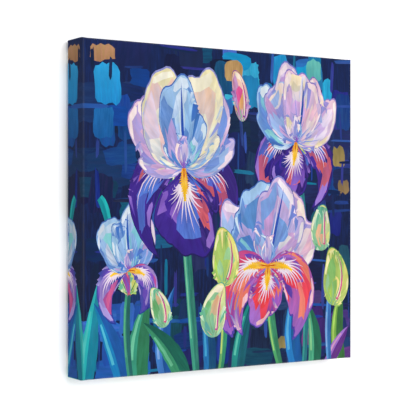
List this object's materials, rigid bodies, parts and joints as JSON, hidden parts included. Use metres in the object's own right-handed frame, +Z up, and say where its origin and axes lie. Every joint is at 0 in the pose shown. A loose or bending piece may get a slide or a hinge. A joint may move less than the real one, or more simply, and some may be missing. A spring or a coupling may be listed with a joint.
{
  "type": "stretched canvas print",
  "caption": "Square gallery-wrapped canvas print on a keyed pine stretcher frame, with a sawtooth hanger and rubber wall bumpers on its open back.",
  "frame": {"origin": "the point of the wall plane where the hanger's middle notch sits on its nail, midway between the sides", "axes": "-Y out of the picture, +Y into the wall, +Z up, +X to the right as one looks at the picture"},
  "size_m": [0.3048, 0.0349, 0.3048],
  "materials": {
    "printed_canvas": "satin printed cotton canvas",
    "pine": "planed, unfinished",
    "key_wood": "sawn, unfinished",
    "zinc_steel": "zinc plated",
    "staple_wire": "galvanised",
    "rubber": "matte"
  },
  "bodies": {
    "root": {"canvas": "printed_canvas", "corner_key_bottom_first": "key_wood", "corner_key_bottom_last": "key_wood", "corner_key_left_first": "key_wood", "corner_key_left_last": "key_wood", "corner_key_right_first": "key_wood", "corner_key_right_last": "key_wood", "corner_key_top_first": "key_wood", "corner_key_top_last": "key_wood", "hanger_nail_left": "zinc_steel", "hanger_nail_right": "zinc_steel", "sawtooth_hanger": "zinc_steel", "staple_bottom_1": "staple_wire", "staple_bottom_2": "staple_wire", "staple_bottom_3": "staple_wire", "staple_bottom_4": "staple_wire", "staple_bottom_5": "staple_wire", "staple_bottom_6": "staple_wire", "staple_bottom_7": "staple_wire", "staple_bottom_8": "staple_wire", "staple_left_1": "staple_wire", "staple_left_2": "staple_wire", "staple_left_3": "staple_wire", "staple_left_4": "staple_wire", "staple_left_5": "staple_wire", "staple_left_6": "staple_wire", "staple_left_7": "staple_wire", "staple_left_8": "staple_wire", "staple_right_1": "staple_wire", "staple_right_2": "staple_wire", "staple_right_3": "staple_wire", "staple_right_4": "staple_wire", "staple_right_5": "staple_wire", "staple_right_6": "staple_wire", "staple_right_7": "staple_wire", "staple_right_8": "staple_wire", "staple_top_1": "staple_wire", "staple_top_2": "staple_wire", "staple_top_3": "staple_wire", "staple_top_4": "staple_wire", "staple_top_5": "staple_wire", "staple_top_6": "staple_wire", "staple_top_7": "staple_wire", "staple_top_8": "staple_wire", "stretcher_bar_bottom": "pine", "stretcher_bar_left": "pine", "stretcher_bar_right": "pine", "stretcher_bar_top": "pine", "wall_bumper_left": "rubber", "wall_bumper_right": "rubber"}
  },
  "joints": []
}
